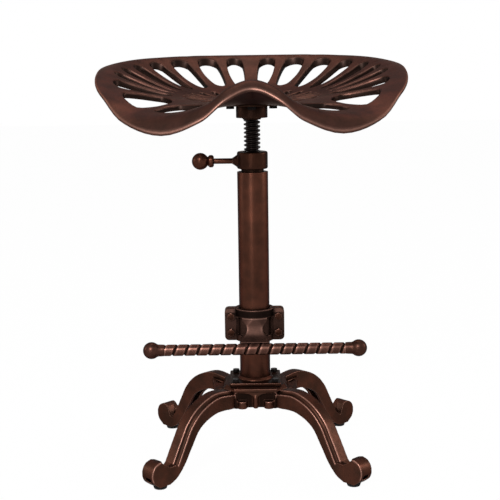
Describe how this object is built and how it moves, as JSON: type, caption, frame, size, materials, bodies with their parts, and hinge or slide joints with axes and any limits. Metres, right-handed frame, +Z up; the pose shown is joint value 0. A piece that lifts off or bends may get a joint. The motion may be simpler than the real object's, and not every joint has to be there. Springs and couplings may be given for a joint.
{
  "type": "tractor seat stool",
  "caption": "Adjustable stool: pierced pan seat on a lead screw in a tube column, with a clamped twisted-bar footrest and cast scroll-foot legs in antique copper-bronze.",
  "frame": {"origin": "on the column's axis at floor level", "axes": "+Z up along the column, -Y towards the front of the seat, +X to the right seen from the front"},
  "size_m": [0.444, 0.3758, 0.5968],
  "materials": {
    "bronze": "antique copper-bronze, rubbed lighter on edges",
    "bronze_steel": "antique copper-bronze on turned and drawn steel",
    "dark_bronze": "dark antique bronze",
    "black_steel": "black oxide, oiled",
    "rubber": "matt black"
  },
  "bodies": {
    "base": {"base_hub": "bronze", "leg_front_left": "bronze", "leg_front_right": "bronze", "leg_rear_left": "bronze", "leg_rear_right": "bronze", "foot_pad_front_left": "rubber", "foot_pad_front_right": "rubber", "foot_pad_rear_left": "rubber", "foot_pad_rear_right": "rubber", "leg_bolt_front_left_1": "black_steel", "leg_bolt_front_left_2": "black_steel", "leg_bolt_front_right_1": "black_steel", "leg_bolt_front_right_2": "black_steel", "leg_bolt_rear_left_1": "black_steel", "leg_bolt_rear_left_2": "black_steel", "leg_bolt_rear_right_1": "black_steel", "leg_bolt_rear_right_2": "black_steel", "column_flange": "bronze_steel", "flange_bolt_1": "black_steel", "flange_bolt_2": "black_steel", "flange_bolt_3": "black_steel", "flange_bolt_4": "black_steel", "column_tube": "bronze_steel", "column_nut": "dark_bronze"},
    "guide": {"screw_guide_bush": "black_steel"},
    "seat": {"seat_screw": "black_steel", "bush_clip": "black_steel", "seat_boss": "dark_bronze", "seat_mount_plate": "dark_bronze", "seat_bolt_1": "bronze_steel", "seat_bolt_2": "bronze_steel", "seat_bolt_3": "bronze_steel", "seat_bolt_4": "bronze_steel", "seat_nut_1": "black_steel", "seat_nut_2": "black_steel", "seat_nut_3": "black_steel", "seat_nut_4": "black_steel", "seat_pan": "bronze"},
    "lock": {"lock_collar": "bronze_steel", "lock_lever_rod": "bronze_steel", "lock_lever_knob": "bronze_steel"},
    "footrest": {"footrest_clamp_front": "bronze", "footrest_clamp_rear": "bronze", "clamp_bolt_1": "bronze_steel", "clamp_bolt_2": "bronze_steel", "clamp_bolt_3": "bronze_steel", "clamp_bolt_4": "bronze_steel", "clamp_nut_1": "black_steel", "clamp_nut_2": "black_steel", "clamp_nut_3": "black_steel", "clamp_nut_4": "black_steel", "footrest_bar": "bronze_steel", "footrest_knob_left": "bronze_steel", "footrest_knob_right": "bronze_steel"}
  },
  "joints": [
    {"name": "seat_height", "type": "slide", "parent": "base", "child": "guide", "axis": [0, 0, 1], "range_m": [-0.036, 0.072]},
    {"name": "seat_turn", "type": "hinge", "parent": "guide", "child": "seat", "pos_m": [0, 0, 0.35], "axis": [0, 0, 1], "range_deg": [-2160, 4320]},
    {"name": "lock_turn", "type": "hinge", "parent": "base", "child": "lock", "pos_m": [0, 0, 0.446], "axis": [0, 0, 1], "range_deg": [0, 90]},
    {"name": "footrest_height", "type": "slide", "parent": "base", "child": "footrest", "axis": [0, 0, 1], "range_m": [-0.04, 0.19]}
  ],
  "couplings": [
    {"joint": "seat_height", "follows": "seat_turn", "m_per_rad": 0.00095493}
  ]
}
